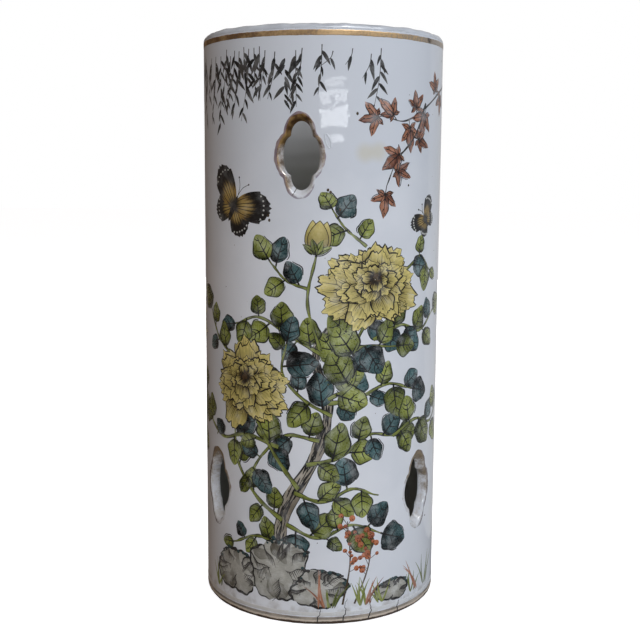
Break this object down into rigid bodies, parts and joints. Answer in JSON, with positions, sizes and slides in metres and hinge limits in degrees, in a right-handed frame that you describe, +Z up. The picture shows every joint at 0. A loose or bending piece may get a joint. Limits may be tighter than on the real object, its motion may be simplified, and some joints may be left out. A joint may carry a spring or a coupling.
{
  "type": "hat stand",
  "caption": "Open porcelain cylinder on a flat turned foot, its wall pierced by bevelled quatrefoil openings, with gilt edges and painted flowers; a hat rests over its mouth.",
  "frame": {"origin": "centre of the foot's flat underside", "axes": "+Z up along the tube's axis, -Y the front with one upper opening"},
  "size_m": [0.1214, 0.1214, 0.285],
  "materials": {
    "glaze": "glossy blue-white glaze",
    "biscuit": "unglazed, rubbed and stained brown",
    "gilt": "thin worn gilding",
    "enamel": "painted overglaze enamel"
  },
  "bodies": {
    "root": {"foot_ring": "biscuit", "floor_disc": "glaze", "floor_fillet": "glaze", "lower_wall": "glaze", "waist_luting": "glaze", "upper_wall": "glaze", "mouth_rim": "glaze", "mouth_gilt_band": "gilt", "foot_gilt_band": "gilt", "upper_opening_gilding_1": "gilt", "upper_opening_gilding_2": "gilt", "upper_opening_gilding_3": "gilt", "lower_opening_gilding_1": "gilt", "lower_opening_gilding_2": "gilt", "lower_opening_gilding_3": "gilt"}
  },
  "joints": []
}
